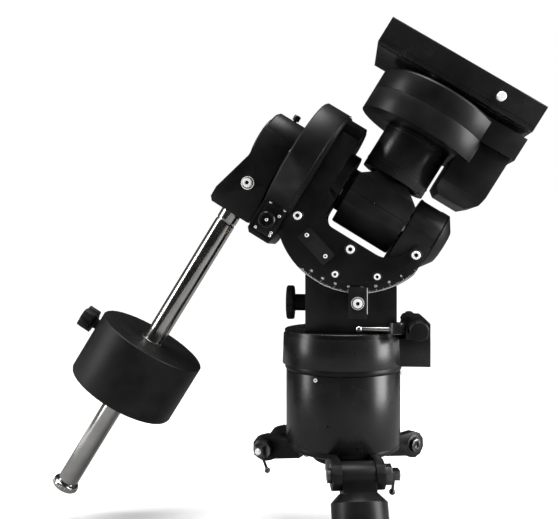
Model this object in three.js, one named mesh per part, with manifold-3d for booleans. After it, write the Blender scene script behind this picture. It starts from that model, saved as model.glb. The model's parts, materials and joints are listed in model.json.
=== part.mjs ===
// Centre-balanced equatorial telescope mount on a pier column and a three-armed tripod hub.
// Millimetres, +Z up. The origin is the centre of the hub's flat underside, on the pier axis.
// The polar axis tips up towards -X, and the counterweight hangs on that side.

import * as THREE from "three";
import { mergeVertices } from "three/addons/utils/BufferGeometryUtils.js";
import Module from "manifold-3d";

const wasm = await Module();
wasm.setup();

// ---------------------------------------------------------------- driving dimensions
const GAP = 0.3; // clearance between pieces that touch
const LATITUDE = 31.8; // tilt of the polar axis above the horizontal, degrees
const AXES_X = 43; // where the polar and declination axes cross
const AXES_Z = 330;

// Tripod hub; a leg is fitted at the front lugs only
const HUB_TOP = 25;
const HUB_RADIUS = 74;
const HINGE_RADIUS = 100; // leg hinge from the pier axis
const HINGE_Z = 9;
const LUG_INNER = 20.4; // half the clear width between two lugs
const LUG_OUTER = 31;
const LUG_END = 18; // round end of a lug
const LEG_SPLAY = 22; // degrees from vertical
const LEG_TUBE_RADIUS = 25.4; // two inch leg tube that the socket takes
const LEG_ARMS = { front: -80, right: 40, left: 160 }; // azimuth of each arm, degrees

// Pier column and azimuth base
const PIER_RADIUS = 75;
const PIER_TOP = 119;
const FLANGE_RADIUS = 76.5;
const FLANGE_TOP = 126.6;
const RING_RADIUS = 80;
const RING_TOP = 165;
const DISC_RADIUS = 77;
const DISC_TOP = 171;
const ADJUSTER_X = 92; // azimuth knobs' axis
const ADJUSTER_Z = 176;
const ADJUSTER_HALF = 42;
const PEG_HALF = 4.5; // half the width of the fixed peg

// Latitude pedestal and yoke
const PEDESTAL = { x0: -47, x1: 67, half: 50 };
const PIVOT = { x: -16, z: -16 }; // latitude axis, in the tilted frame
const PLATE_RADIUS = 105.5; // lower arc of the side plates
const PLATE_LEFT = -86.5;
const PLATE_INNER = 42; // inner face of a side plate
const PLATE_OUTER = 50;
const BOSS_X = -61.8; // shoulder where the round boss leaves the front flange
const BOSS_LOW = -14; // the side plates come up to here beside the boss
const FLOOR_Z = -53; // floor of the yoke's U
const KNOB_Z = 205; // latitude knob's axis above the origin
const POINTER_X = 18.5; // bolt of the latitude pointer
const POINTER_Z = 208;
const WORM_RADIUS = 14.5;

// Right ascension unit, along the tilted frame's x axis
const GEAR_HOUSING = { x0: -125, x1: -90, radius: 84, bore: 26 };
const RA_WHEEL_RADIUS = 68;
const RA_SHAFT_RADIUS = 24;
const TAIL_SHAFT_RADIUS = 20;
const HEAD_X = -160; // counterweight shaft's axis from the declination axis
const CLAMP_X = -156; // bolt that clamps the counterweight bar
const CLAMP_Z = -61;
const THUMB_X = -151; // thumb screw on top of the head

// Declination unit, along the tilted frame's z axis
const DEC_RADIUS = 84;
const DEC_FLOOR = 102.3;
const DEC_SPLIT = 131;
const DEC_TOP = 160;
const DEC_WHEEL_RADIUS = 62;
const DEC_SHAFT_RADIUS = 17.5;
const NECK_RADIUS = 44;
const LAND = 34; // half the width of the saddle's seat
const SADDLE_SCREW_X = 50; // the saddle's two clamping screws
const SADDLE_SCREW_Z = 196;
const SADDLE = { x0: -106, x1: 112, half: 58, z0: 171.3, seat: 190, top: 207 };

// Counterweight
const BAR_RADIUS = 14;
const BAR_END = -536;
const WEIGHT = { radius: 75, top: -308, bottom: -393 };

const LARGE = 36; // segments round a large cylinder
const MEDIUM = 20;
const SMALL = 10;

// ---------------------------------------------------------------- finishes
function finish(color, roughness, metalness) {
  return new THREE.MeshStandardMaterial({ color, roughness, metalness });
}
const BLACK = finish(0x17181a, 0.42, 0.35); // black anodised and painted castings
const PLASTIC = finish(0x0f0f10, 0.55, 0.0);
const STEEL = finish(0xc9cbce, 0.22, 1.0);
const BRASS = finish(0xb08d4a, 0.35, 1.0);
const ALUMINIUM = finish(0xaeb1b5, 0.35, 1.0);

// ---------------------------------------------------------------- solids
function solid(geometry) {
  geometry.deleteAttribute("normal");
  geometry.deleteAttribute("uv");
  const merged = mergeVertices(geometry, 1e-4);
  const points = merged.attributes.position.array;
  const index = merged.index.array;
  const triangles = [];
  for (let i = 0; i < index.length; i += 3) {
    const [a, b, c] = [index[i], index[i + 1], index[i + 2]];
    if (a !== b && b !== c && c !== a) triangles.push(a, b, c);
  }
  if (signedVolume(points, triangles) < 0) triangles.reverse();
  const mesh = new wasm.Mesh({
    numProp: 3,
    vertProperties: new Float32Array(points),
    triVerts: new Uint32Array(triangles),
  });
  return new wasm.Manifold(mesh);
}

function signedVolume(points, triangles) {
  const corner = (i) => new THREE.Vector3().fromArray(points, 3 * triangles[i]);
  let sum = 0;
  for (let i = 0; i < triangles.length; i += 3) {
    sum += corner(i).dot(corner(i + 1).cross(corner(i + 2)));
  }
  return sum;
}

function turn(geometry, axis) {
  if (axis === "x") geometry.rotateZ(-Math.PI / 2);
  if (axis === "z") geometry.rotateX(Math.PI / 2);
  return geometry;
}

// A solid of revolution: profile is [radius, distance along the axis], on or round the axis.
function revolve(axis, profile, segments = MEDIUM) {
  const points = profile.map(([radius, along]) => new THREE.Vector2(radius, along));
  if (profile[0][0] !== 0) points.push(points[0].clone());
  return solid(turn(new THREE.LatheGeometry(points, segments), axis));
}

function rod(axis, radius, from, to, segments = MEDIUM) {
  return revolve(axis, [[0, from], [radius, from], [radius, to], [0, to]], segments);
}

function tube(axis, outer, inner, from, to, segments = MEDIUM) {
  return revolve(axis, [[inner, from], [outer, from], [outer, to], [inner, to]], segments);
}

function box(x0, x1, y0, y1, z0, z1) {
  const geometry = new THREE.BoxGeometry(x1 - x0, y1 - y0, z1 - z0);
  return solid(geometry.translate((x0 + x1) / 2, (y0 + y1) / 2, (z0 + z1) / 2));
}

function shapeOf(points) {
  return new THREE.Shape(points.map(([a, b]) => new THREE.Vector2(a, b)));
}

// An outline of [x, z] points, carried from y0 to y1.
function plateXZ(points, y0, y1) {
  const options = { depth: y1 - y0, bevelEnabled: false };
  const geometry = new THREE.ExtrudeGeometry(shapeOf(points), options);
  return solid(geometry.rotateX(Math.PI / 2).translate(0, y1, 0));
}

// An outline of [y, z] points, carried from x0 to x1.
function plateYZ(points, x0, x1) {
  const options = { depth: x1 - x0, bevelEnabled: false };
  const geometry = new THREE.ExtrudeGeometry(shapeOf(points), options);
  const basis = new THREE.Matrix4().makeBasis(
    new THREE.Vector3(0, 1, 0),
    new THREE.Vector3(0, 0, 1),
    new THREE.Vector3(1, 0, 0),
  );
  return solid(geometry.applyMatrix4(basis).translate(x0, 0, 0));
}

function arc(cx, cz, radius, fromDegrees, toDegrees, steps) {
  const points = [];
  for (let i = 0; i <= steps; i += 1) {
    const angle = THREE.MathUtils.degToRad(fromDegrees + ((toDegrees - fromDegrees) * i) / steps);
    points.push([cx + radius * Math.cos(angle), cz + radius * Math.sin(angle)]);
  }
  return points;
}

// Angle, in degrees, at which a circle round the latitude axis meets a given x.
function pivotAngle(radius, x) {
  return -THREE.MathUtils.radToDeg(Math.acos((x - PIVOT.x) / radius));
}

function at(shape, x, y, z) {
  return shape.translate([x, y, z]);
}

// ---------------------------------------------------------------- scene graph
const mount = new THREE.Group();
const polar = new THREE.Group(); // x along the polar axis, z along the declination axis
polar.position.set(AXES_X, 0, AXES_Z);
polar.rotation.y = THREE.MathUtils.degToRad(LATITUDE);
mount.add(polar);

function add(parent, name, material, shape) {
  const data = shape.getMesh();
  const geometry = new THREE.BufferGeometry();
  geometry.setAttribute("position", new THREE.BufferAttribute(data.vertProperties, 3));
  geometry.setIndex(new THREE.BufferAttribute(data.triVerts, 1));
  geometry.computeVertexNormals();
  const mesh = new THREE.Mesh(geometry, material);
  mesh.name = name;
  parent.add(mesh);
  return mesh;
}

// ---------------------------------------------------------------- tripod hub and legs
function lugOutline() {
  return [[52, HUB_TOP - 1], [52, 1], [86, -4], ...arc(HINGE_RADIUS, HINGE_Z, LUG_END, -120, 90, 6)];
}

function hubArm() {
  const bore = at(rod("y", 5.2, -40, 40, SMALL), HINGE_RADIUS, 0, HINGE_Z);
  const web = box(50, 70, -LUG_OUTER, LUG_OUTER, 1, HUB_TOP - 1);
  return plateXZ(lugOutline(), LUG_INNER, LUG_OUTER)
    .add(plateXZ(lugOutline(), -LUG_OUTER, -LUG_INNER))
    .add(web)
    .subtract(bore);
}

function tripodHub() {
  const profile = [[0, 0], [38, 0], [42, 4], [42, 10], [68, 16], [HUB_RADIUS, 19]];
  let hub = revolve("z", [...profile, [HUB_RADIUS, HUB_TOP], [0, HUB_TOP]], LARGE);
  for (const azimuth of Object.values(LEG_ARMS)) {
    hub = hub.add(hubArm().rotate([0, 0, azimuth]));
  }
  return hub;
}

// The socket's tube runs along -z here; it is then tipped out about the hinge.
function legSocket() {
  const outer = LEG_TUBE_RADIUS + 8;
  const bore = LEG_TUBE_RADIUS + 0.2;
  const body = [[0, -21], [outer - 10, -21], [outer, -31], [outer, -98], [bore, -98], [bore, -44], [0, -44]];
  const barrel = rod("y", 16, GAP - LUG_INNER, LUG_INNER - GAP, MEDIUM);
  const neck = box(-14, 14, GAP - LUG_INNER, LUG_INNER - GAP, -30, 0);
  return revolve("z", body, MEDIUM)
    .add(barrel)
    .add(neck)
    .subtract(rod("y", 5.2, -40, 40, SMALL))
    .rotate([0, -LEG_SPLAY, 0]);
}

// Hinge bolt: ring head on one side, collar, nut and a thin clamping lever on the other.
function legBolt() {
  const head = tube("y", 9, 4, -36, GAP - LUG_OUTER - 2 * GAP, SMALL);
  const shank = rod("y", 4.9, -34, 42, SMALL);
  const collar = rod("y", 13, LUG_OUTER + GAP, 40, SMALL);
  const nut = box(-6, 6, 39, 50, -6, 6);
  const lever = rod("z", 1.8, -26, 0, 12).rotate([0, 24, 0]);
  const ball = solid(new THREE.SphereGeometry(4, 10, 6)).translate([0, 0, -27]).rotate([0, 24, 0]);
  return head.add(shank).add(collar).add(nut).add(at(lever.add(ball), 0, 44.5, 0));
}

function addLegs() {
  for (const [name, azimuth] of Object.entries(LEG_ARMS)) {
    const arm = new THREE.Group();
    arm.rotation.z = THREE.MathUtils.degToRad(azimuth);
    const hinge = new THREE.Group();
    hinge.position.set(HINGE_RADIUS, 0, HINGE_Z);
    arm.add(hinge);
    mount.add(arm);
    add(hinge, `leg_bolt_${name}`, STEEL, legBolt());
    if (name === "front") add(hinge, "leg_socket_front", BLACK, legSocket());
  }
}

// ---------------------------------------------------------------- pier and azimuth base
function pierColumn() {
  const wall = 6;
  const profile = [
    [PIER_RADIUS - wall, HUB_TOP + GAP],
    [PIER_RADIUS, HUB_TOP + GAP],
    [PIER_RADIUS, PIER_TOP],
    [40, PIER_TOP],
    [40, PIER_TOP - 8],
    [PIER_RADIUS - wall, PIER_TOP - 8],
  ];
  return revolve("z", profile, LARGE);
}

function pierFlange() {
  const z0 = PIER_TOP + GAP;
  const profile = [
    [30, z0],
    [PIER_RADIUS, z0],
    [FLANGE_RADIUS, z0 + 2],
    [FLANGE_RADIUS, FLANGE_TOP],
    [30, FLANGE_TOP],
  ];
  return revolve("z", profile, LARGE);
}

// The fixed peg that the two azimuth screws push against.
function azimuthPeg() {
  const z0 = FLANGE_TOP + GAP;
  return box(34, 97, -PEG_HALF, PEG_HALF, z0, z0 + 10).add(
    box(87, 97, -PEG_HALF, PEG_HALF, z0, ADJUSTER_Z + 8),
  );
}

function azimuthRing() {
  const z0 = FLANGE_TOP + GAP;
  const profile = [
    [32, z0],
    [RING_RADIUS, z0],
    [RING_RADIUS - 1.5, RING_TOP],
    [DISC_RADIUS, RING_TOP],
    [DISC_RADIUS, DISC_TOP - 1],
    [DISC_RADIUS - 1, DISC_TOP],
    [32, DISC_TOP],
  ];
  const block = box(60, 110, -34, 34, z0, 162);
  const channel = box(28, 101, -16, 16, z0 - 1, 142).add(box(82, 101, -16, 16, z0 - 1, 163));
  const shoulder = revolve("z", profile, LARGE);
  return shoulder.add(block).subtract(channel);
}

function adjusterHousing() {
  const z0 = 162 + GAP;
  const y = ADJUSTER_HALF;
  const outline = [[78.5, z0], [109, z0], [109, 182], [103, 188], [84, 188], [78.5, 182]];
  const screws = at(rod("y", 4.3, -60, 60, SMALL), ADJUSTER_X, 0, ADJUSTER_Z);
  return plateXZ(outline, -y, y)
    .subtract(box(82, 101, -16, 16, 160, 185))
    .subtract(at(rod("z", RING_RADIUS + 0.5, 160, 200, LARGE), 0, 0, 0))
    .subtract(screws);
}

// Screw that pushes on the peg, and the hand knob on its outer end; both face +y.
function azimuthScrew() {
  return revolve("y", [[0, PEG_HALF + 0.6], [1.5, PEG_HALF + 0.6], [4, 8.5], [4, 70], [0, 70]], SMALL + 2);
}

function azimuthKnob() {
  const y0 = ADJUSTER_HALF + 8.8;
  const profile = [[0, y0], [9, y0], [12.5, y0 + 2], [12.5, y0 + 23], [10.5, y0 + 25], [0, y0 + 25]];
  let knob = revolve("y", profile).subtract(rod("y", 4.3, y0 - 1, 71, SMALL + 2));
  for (let i = 0; i < 6; i += 1) {
    const angle = (i * Math.PI) / 3;
    knob = knob.subtract(at(rod("y", 3, y0 + 3, y0 + 40, 6), 14 * Math.cos(angle), 0, 14 * Math.sin(angle)));
  }
  return knob;
}

function lockLever() {
  const hub = revolve("z", [[0, 0], [8, 0], [8, 11], [6, 13], [0, 13]], SMALL);
  const bar = rod("x", 3, -44, -5, 14);
  const ball = solid(new THREE.SphereGeometry(4.4, 10, 6)).translate([-46, 0, 0]);
  return hub.add(at(bar.add(ball), 0, 0, 5.5));
}

// ---------------------------------------------------------------- latitude pedestal
function pedestal() {
  const z0 = DISC_TOP + GAP;
  const pivot = polarPoint(PIVOT.x, PIVOT.z);
  const cradle = at(rod("y", PLATE_RADIUS + 0.6, -60, 60, 72), pivot.x, 0, pivot.z);
  const trench = box(PEDESTAL.x0 + 8, PEDESTAL.x1 - 8, -18, 18, 187, 260);
  const shaft = at(rod("x", 6.4, PEDESTAL.x0 - 5, PEDESTAL.x1 - 3, SMALL), 0, 0, KNOB_Z);
  return box(PEDESTAL.x0, PEDESTAL.x1, -PEDESTAL.half, PEDESTAL.half, z0, 256)
    .subtract(cradle)
    .subtract(trench)
    .subtract(shaft);
}

function polarPoint(x, z) {
  const angle = THREE.MathUtils.degToRad(LATITUDE);
  return {
    x: AXES_X + x * Math.cos(angle) + z * Math.sin(angle),
    z: AXES_Z - x * Math.sin(angle) + z * Math.cos(angle),
  };
}

// T-shaped hand knob on the left of the pedestal, with its spindle.
function latitudeKnob() {
  const x1 = PEDESTAL.x0;
  const profile = [
    [0, x1 - 27],
    [21, x1 - 27],
    [22.5, x1 - 25.5],
    [22.5, x1 - 18.5],
    [21, x1 - 17],
    [11, x1 - 17],
    [11, x1 - 3],
    [9, x1 - 0.6],
    [6, x1 - 0.6],
    [6, PEDESTAL.x0 + 9],
    [0, PEDESTAL.x0 + 9],
  ];
  let knob = revolve("x", profile, MEDIUM);
  for (let i = 0; i < 6; i += 1) {
    const angle = (i * Math.PI) / 3;
    const y = 24.5 * Math.cos(angle);
    const z = 24.5 * Math.sin(angle);
    knob = knob.subtract(at(rod("x", 4.5, x1 - 30, x1 - 14, 8), 0, y, z));
  }
  return knob;
}

function latitudeWorm() {
  const x0 = PEDESTAL.x0 + 9 + GAP;
  const x1 = PEDESTAL.x1 - 8;
  const profile = [
    [0, x0],
    [6, x0],
    [6, 0],
    [WORM_RADIUS, 2],
    [WORM_RADIUS, 40],
    [6, 42],
    [6, x1 + 3],
    [0, x1 + 3],
  ];
  return revolve("x", profile, MEDIUM);
}

function pointerPlate() {
  const front = -PEDESTAL.half - GAP;
  const bore = at(rod("y", 4.2, -70, -40, SMALL), POINTER_X, 0, POINTER_Z);
  return box(7, 30, front - 5, front, 189, 228).subtract(bore);
}

function pointerBolt() {
  const front = -PEDESTAL.half - GAP - 5 - GAP;
  const washer = rod("y", 8, front - 1.4, front);
  const head = at(rod("y", 5.2, -5, 0, SMALL + 6), 0, front - 1.3, 0);
  const socket = rod("y", 2.7, front - 12, front - 3.6, 6);
  return washer.add(head).add(rod("y", 4, front, front + 5, SMALL)).subtract(socket);
}

// ---------------------------------------------------------------- yoke
// Side plate: a half disc round the latitude axis with the U cut out of it.
function sidePlateOutline() {
  const left = PLATE_LEFT;
  const right = 84;
  const first = pivotAngle(PLATE_RADIUS, right);
  const last = pivotAngle(PLATE_RADIUS, left);
  return [
    [left, 52],
    [left + 3, 56],
    [-64, 56],
    [BOSS_X, 53],
    [BOSS_X, BOSS_LOW],
    [-49, BOSS_LOW - 8],
    ...arc(-33, -37, 16, 180, 270, 6),
    ...arc(30, -19, 34, 270, 340, 8),
    [70, -14],
    [right, -12],
    ...arc(PIVOT.x, PIVOT.z, PLATE_RADIUS, first, last, 32),
  ];
}

function sidePlate(side) {
  const [y0, y1] = side < 0 ? [-PLATE_OUTER, -PLATE_INNER] : [PLATE_INNER, PLATE_OUTER];
  return plateXZ(sidePlateOutline(), y0, y1);
}

// Round flange and boss that carry the polar shaft's front bearing.
function yokeFrontFrame() {
  const x0 = GEAR_HOUSING.x1 + GAP;
  const profile = [
    [26, x0 + 20],
    [34.3, x0 + 20],
    [34.3, x0],
    [78, x0],
    [80, x0 + 2],
    [80, -63],
    [78, -61.5],
    [45, -61.5],
    [45, -49.5],
    [43.5, -48.5],
    [26, -48.5],
  ];
  const half = PLATE_INNER - GAP;
  const beam = [[PLATE_LEFT, -40], [-61.5, -40], [-61.5, -88], [-70, -92], [PLATE_LEFT, -84]];
  const slab = box(-140, 0, -half, half, -120, 90).add(box(-61.7, -40, -50, 50, BOSS_LOW + 1, 90));
  const disc = rod("x", 82, x0, PLATE_LEFT - GAP, LARGE);
  return revolve("x", profile, LARGE)
    .add(plateXZ(beam, -half, half))
    .intersect(slab)
    .add(disc)
    .subtract(gearSlot())
    .subtract(rod("x", 34.3, x0 - 1, x0 + 20, LARGE))
    .subtract(rod("x", 26, x0, -40, LARGE));
}

// Room that the latitude gear turns in, between the side plates.
function gearSlot() {
  return at(tube("y", PLATE_RADIUS + 2, 84.5, -11.6, 11.6, LARGE), PIVOT.x, 0, PIVOT.z);
}

function yokeFloor() {
  const radius = 84.5;
  const left = -61.5 + GAP;
  const right = 44.7;
  const outline = [
    [left, FLOOR_Z],
    [right, FLOOR_Z],
    ...arc(PIVOT.x, PIVOT.z, radius, pivotAngle(radius, right), pivotAngle(radius, left), 20),
  ];
  return plateXZ(outline, GAP - PLATE_INNER, PLATE_INNER - GAP);
}

function yokeTailArm() {
  const half = PLATE_INNER - GAP;
  const radius = 100;
  const web = [
    [45, 0],
    [84, 0],
    ...arc(PIVOT.x, PIVOT.z, radius, pivotAngle(radius, 83.9), pivotAngle(radius, 45), 14),
  ];
  return rod("x", 40, 45, 84, LARGE)
    .add(plateXZ(web, -half, half))
    .subtract(gearSlot())
    .subtract(rod("x", TAIL_SHAFT_RADIUS + 1, 40, 90, MEDIUM))
    .subtract(rod("x", 30.3, 66, 90, MEDIUM));
}

function tailCap() {
  const seat = 84 + GAP;
  const profile = [[0, seat], [40, seat], [40, 87], [24, 98], [22, 99], [14, 99], [14, 96], [0, 96]];
  return revolve("x", profile, LARGE);
}

function latitudeGear() {
  const inner = arc(PIVOT.x, PIVOT.z, 85, -94, -18, 16);
  const outer = arc(PIVOT.x, PIVOT.z, 104.3, -18, -94, 16);
  return plateXZ([...inner, ...outer], -11, 11);
}

// ---------------------------------------------------------------- right ascension unit
function raGearHousing() {
  const { x0, x1, radius, bore } = GEAR_HOUSING;
  const profile = [
    [bore, x0 - 6],
    [46, x0 - 6],
    [46, x0],
    [radius - 2, x0],
    [radius, x0 + 2],
    [radius, x1 - 1.5],
    [radius - 1.5, x1],
    [70.5, x1],
    [70.5, -116],
    [bore, -116],
  ];
  const right = GEAR_HOUSING.x1;
  const wormBox = [
    [x0 + 0.5, -40],
    [right, -40],
    [right, -106],
    [-92, -113],
    [x0 + 5, -113],
    [x0 + 0.5, -108],
  ];
  const cavity = box(-116, -91, -46, 45, -107, -50);
  return revolve("x", profile, LARGE)
    .add(plateXZ(wormBox, -50, 50).subtract(rod("x", 80.3, x1, -70, LARGE)))
    .subtract(rod("x", 70.5, -116, x1 + 3, LARGE))
    .subtract(cavity.subtract(rod("x", 60, -118, x1)))
    .subtract(box(-119, -91, -51, -46, -107, -62));
}

function wormCover() {
  const outline = [[-118.5, -62.5], [-91.5, -62.5], [-91.5, -106.5], [-118.5, -106.5]];
  const boss = at(rod("y", 9, -53, -49, MEDIUM), -108, 0, -88);
  return plateXZ(outline, -50.5, -46.4).add(boss);
}

function raShaft() {
  const profile = [[14, -150], [RA_SHAFT_RADIUS, -150], [RA_SHAFT_RADIUS, -20], [14, -20]];
  return revolve("x", profile, MEDIUM);
}

function wormWheel(axis, radius, bore, from, to) {
  return tube(axis, radius, bore + GAP, from, to, MEDIUM + SMALL);
}

function worm(radius, half) {
  const profile = [[0, -half - 12], [4, -half - 12], [4, -half], [radius, 2 - half]];
  return revolve("y", [...profile, [radius, half - 2], [4, half], [4, half + 3], [0, half + 3]], SMALL);
}

function bearing(axis, outer, inner, from, to) {
  return tube(axis, outer, inner, from, to, MEDIUM);
}

// Head that carries the counterweight bar: a round body that flares down into a socket.
function counterweightHead() {
  const left = [[-173, 10], [-173.5, -30], [-189.5, -86], [-189.5, -100], [-185, -105]];
  const front = [...left, [-131, -105], [-127, -101], [-127, -86], [-131.5, -50], [-131.5, 10]];
  const sides = [[-41, 10], [-41, -8], [-31, -105], [31, -105], [41, -8], [41, 10]];
  const body = revolve("x", [[0, -174], [38, -174], [41, -171], [41, -131.5], [0, -131.5]], LARGE);
  const clamp = rod("y", 3.2, -60, -10, SMALL).add(rod("y", 9.2, -60, -35.6, MEDIUM));
  return body
    .add(plateXZ(front, -60, 60).intersect(plateYZ(sides, -200, -120)))
    .subtract(at(rod("z", BAR_RADIUS + 0.2, -110, -58), HEAD_X, 0, 0))
    .subtract(rod("x", RA_SHAFT_RADIUS + GAP, -151, -130))
    .subtract(rod("x", 14, -180, -150))
    .subtract(rod("x", 27, -180, -171))
    .subtract(at(clamp, CLAMP_X, 0, CLAMP_Z))
    .subtract(at(rod("z", 2.7, 30, 60, SMALL), THUMB_X, 0, 0));
}

function polarCap() {
  const rim = [[28.5, -178], [30.5, -176.5], [30.5, -174.3], [26.5, -174.3], [26.5, -172]];
  return revolve("x", [[0, -178], ...rim, [0, -172]]);
}

function thumbScrew() {
  const profile = [[0, 32], [2.5, 32], [2.5, 42.5], [4.8, 42.5], [4.8, 49], [3.8, 50], [0, 50]];
  return at(revolve("z", profile, SMALL), THUMB_X, 0, 0);
}

function clampBolt() {
  const y = -35.9;
  const washer = rod("y", 8.6, y - 1.5, y);
  const socket = rod("y", 2.8, y - 10, y - 5, 6);
  const head = rod("y", 6, y - 8, y - 1, SMALL);
  const shank = rod("y", 3, y - 1, -16, SMALL);
  return at(washer.add(head).add(shank).subtract(socket), CLAMP_X, 0, CLAMP_Z);
}

function counterweightBar() {
  const profile = [
    [0, BAR_END],
    [BAR_RADIUS, BAR_END],
    [BAR_RADIUS, -122],
    [BAR_RADIUS - 1, -121],
    [BAR_RADIUS - 1, -119],
    [BAR_RADIUS, -118],
    [BAR_RADIUS, -60],
    [0, -60],
  ];
  return at(revolve("z", profile), HEAD_X, 0, 0);
}

function barEndCap() {
  const z = BAR_END - GAP;
  const rim = [[16, z], [17.6, z - 1.5], [17.6, z - 8], [16.2, z - 9.5], [9, z - 9.5], [9, z - 7.5]];
  return at(revolve("z", [[0, z], ...rim, [0, z - 7.5]]), HEAD_X, 0, 0);
}

function counterweight() {
  const { radius, top, bottom } = WEIGHT;
  const bore = BAR_RADIUS + GAP;
  const profile = [
    [bore, bottom],
    [radius - 4, bottom],
    [radius - 1.2, bottom + 1.2],
    [radius, bottom + 4],
    [radius, top - 1.2],
    [radius - 1.2, top],
    [bore + 2, top],
    [bore, top - 2],
  ];
  const screw = rod("x", 4.3, -radius - 1, -bore + 1, SMALL);
  return at(revolve("z", profile, LARGE).subtract(at(screw, 0, 0, top - 24)), HEAD_X, 0, 0);
}

// Lobed clamping knob of the counterweight; its screw reaches the bar.
function counterweightKnob() {
  const face = -WEIGHT.radius;
  const profile = [[0, face - 9], [8, face - 9], [7, face - 1], [4, face - 1], [4, -16], [0, -16]];
  const stem = revolve("x", profile, SMALL);
  const hub = rod("x", 12, face - 25, face - 7, MEDIUM);
  let knob = stem.add(hub);
  for (let i = 0; i < 5; i += 1) {
    const angle = (2 * Math.PI * i) / 5;
    knob = knob.add(at(rod("x", 6, face - 24, face - 8, 8), 0, 11 * Math.cos(angle), 11 * Math.sin(angle)));
  }
  return at(knob, HEAD_X, 0, WEIGHT.top - 24);
}

// ---------------------------------------------------------------- declination unit
function decBlock() {
  const front = [[-40, -44], [42, -44], [42, 22], [20, 40], [-20, 40], [-40, 24]];
  const side = [[-46, -16], [-18, -44], [18, -44], [46, -16], [46, 26], [36, 40], [-36, 40], [-46, 26]];
  const boss = rod("x", 30, -47.5, -39, MEDIUM);
  return plateXZ(front, -60, 60)
    .intersect(plateYZ(side, -60, 60))
    .add(boss)
    .subtract(rod("x", RA_SHAFT_RADIUS + GAP, -60, -19, MEDIUM))
    .subtract(rod("x", TAIL_SHAFT_RADIUS + GAP, 19.5, 60, MEDIUM))
    .subtract(rod("z", DEC_SHAFT_RADIUS + GAP, -31, 60, MEDIUM));
}

function decBlockHalf(upper) {
  const cut = upper ? box(-60, 60, -60, 60, GAP / 2, 60) : box(-60, 60, -60, 60, -60, -GAP / 2);
  return decBlock().intersect(cut);
}

function tailShaft() {
  return revolve("x", [[0, 20.5], [TAIL_SHAFT_RADIUS, 20.5], [TAIL_SHAFT_RADIUS, 83], [0, 83]], MEDIUM);
}

function decNeck() {
  return tube("z", NECK_RADIUS, 34, 40 + GAP, DEC_FLOOR - GAP, LARGE);
}

// Motor box of the declination drive beside the round housing: chamfered below, with a
// wider lid above the split.
function motorBoxLower() {
  const outline = [[49.5, 60], [57, 53], [94, 53], [106, 64], [108, 76], [108, DEC_SPLIT], [49.5, DEC_SPLIT]];
  const side = [[-34, 52], [34, 52], [49, 70], [49, DEC_SPLIT], [-49, DEC_SPLIT], [-49, 70]];
  return plateXZ(outline, -60, 60).intersect(plateYZ(side, 40, 120));
}

function motorBoxUpper(z0) {
  return box(49.5, 112.5, -54, 54, z0, DEC_TOP + 2);
}

function decCavity(z0, z1, boxFloor) {
  return rod("z", 73, z0, z1, LARGE).add(box(58, 100, -43, 43, boxFloor, z1));
}

function decHousingLower() {
  const round = rod("z", DEC_RADIUS, DEC_FLOOR, DEC_SPLIT, LARGE);
  return round
    .add(motorBoxLower().subtract(rod("z", NECK_RADIUS + 1.5, 40, DEC_FLOOR + 1)))
    .subtract(decCavity(109, DEC_SPLIT + 1, 76).add(box(62, 98, -32, 32, 62, 80)))
    .subtract(rod("z", DEC_SHAFT_RADIUS + 1, 90, 120, MEDIUM));
}

function decHousingUpper() {
  const z0 = DEC_SPLIT + GAP;
  const profile = [
    [0, z0],
    [DEC_RADIUS, z0],
    [DEC_RADIUS, DEC_TOP - 3],
    [DEC_RADIUS - 3, DEC_TOP],
    [0, DEC_TOP],
  ];
  return revolve("z", profile, LARGE)
    .add(motorBoxUpper(z0))
    .subtract(decCavity(z0 - 1, 152, z0 - 1))
    .subtract(rod("z", 45, 140, 170, LARGE));
}

function decShaft() {
  const profile = [
    [8, -28],
    [DEC_SHAFT_RADIUS, -28],
    [DEC_SHAFT_RADIUS, 140],
    [44, 140],
    [44, SADDLE.z0 - GAP],
    [8, SADDLE.z0 - GAP],
  ];
  return revolve("z", profile, MEDIUM);
}

// ---------------------------------------------------------------- saddle
function saddleBase() {
  const { x0, x1, half, z0, seat } = SADDLE;
  const side = [
    [-43.7, z0],
    [half - 1, z0],
    [half, z0 + 1],
    [half, seat - 4],
    [36, seat - 4],
    [36, seat - 1.3],
    [LAND, seat - 1.3],
    [LAND, seat],
    [-LAND, seat],
    [-LAND, seat - 1.3],
    [-43.7, seat - 1.3],
  ];
  return plateYZ(side, x0, x1);
}

function saddleFixedJaw() {
  const { x0, x1, half, z0, seat, top } = SADDLE;
  const outer = [[-half, top - 1], [-half, z0 + 1], [1 - half, z0]];
  const slot = [[-44, z0], [-44, seat + GAP], [-42, seat + GAP], [-37.5, top - 3], [-37.5, top]];
  return plateYZ([...outer, ...slot, [1 - half, top]], x0, x1);
}

function saddleMovingJaw() {
  const { x0, x1, half, seat, top } = SADDLE;
  const z0 = seat - 4 + GAP;
  const side = [[42.5, z0], [half, z0], [half, top - 1], [half - 1, top], [38, top], [38, top - 3]];
  const screw = rod("y", 3.4, 30, 70, SMALL);
  return plateYZ(side, x0 + 3, x1 - 3)
    .subtract(at(screw, -SADDLE_SCREW_X, 0, SADDLE_SCREW_Z))
    .subtract(at(screw, SADDLE_SCREW_X, 0, SADDLE_SCREW_Z));
}

function saddleKnob(x) {
  const y = SADDLE.half;
  const stem = [[0, 45], [3, 45], [3, y + 0.8], [7, y + 0.8], [8, y + 8]];
  const profile = [...stem, [12, y + 9], [12, y + 24], [10, y + 26], [0, y + 26]];
  let knob = revolve("y", profile);
  for (let i = 0; i < 6; i += 1) {
    const angle = (i * Math.PI) / 3;
    const flute = rod("y", 3, y + 8, y + 30, 6);
    knob = knob.subtract(at(flute, 13.6 * Math.cos(angle), 0, 13.6 * Math.sin(angle)));
  }
  return at(knob, x, 0, SADDLE_SCREW_Z);
}

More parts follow.
